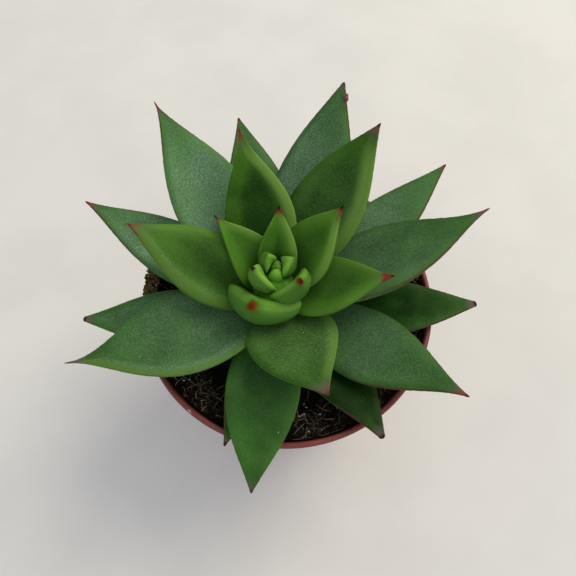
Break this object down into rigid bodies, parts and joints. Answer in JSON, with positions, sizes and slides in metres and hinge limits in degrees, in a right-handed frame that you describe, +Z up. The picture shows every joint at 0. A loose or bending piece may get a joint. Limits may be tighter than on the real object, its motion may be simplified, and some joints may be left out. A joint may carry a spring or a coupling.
{
  "type": "potted agavoides hybrid echeveria",
  "caption": "Potted rosette succulent, an agavoides hybrid echeveria, whose fleshy pointed leaves spiral up a short stem and lie over the rim of a plain round pot.",
  "frame": {"origin": "centre of the pot's underside, on the surface it stands on", "axes": "+Z up, out of the pot; the picture looks along +Y and steeply down, with +X to its right"},
  "size_m": [0.1382, 0.1343, 0.1331],
  "materials": {
    "pot_terracotta": "moulded, dull, terracotta-coloured",
    "peat": "loose dark peat with pale fibres, dull",
    "stem": "living stem, dull green-brown",
    "leaf_outer": "living leaf, dull with a fine powdery bloom",
    "leaf_inner": "living leaf, satin, reddish at the tip",
    "leaf_heart": "young leaf, satin, fresh green"
  },
  "bodies": {
    "root": {"pot": "pot_terracotta", "peat": "peat", "stem": "stem", "leaf_01": "leaf_outer", "leaf_02": "leaf_outer", "leaf_03": "leaf_outer", "leaf_04": "leaf_outer", "leaf_05": "leaf_outer", "leaf_06": "leaf_outer", "leaf_07": "leaf_outer", "leaf_08": "leaf_outer", "leaf_09": "leaf_outer", "leaf_10": "leaf_outer", "leaf_11": "leaf_outer", "leaf_12": "leaf_outer", "leaf_13": "leaf_outer", "leaf_14": "leaf_inner", "leaf_15": "leaf_inner", "leaf_16": "leaf_inner", "leaf_17": "leaf_inner", "leaf_18": "leaf_inner", "leaf_19": "leaf_inner", "leaf_20": "leaf_inner", "leaf_21": "leaf_inner", "leaf_22": "leaf_heart", "leaf_23": "leaf_heart", "leaf_24": "leaf_heart", "heart": "leaf_heart"}
  },
  "joints": []
}
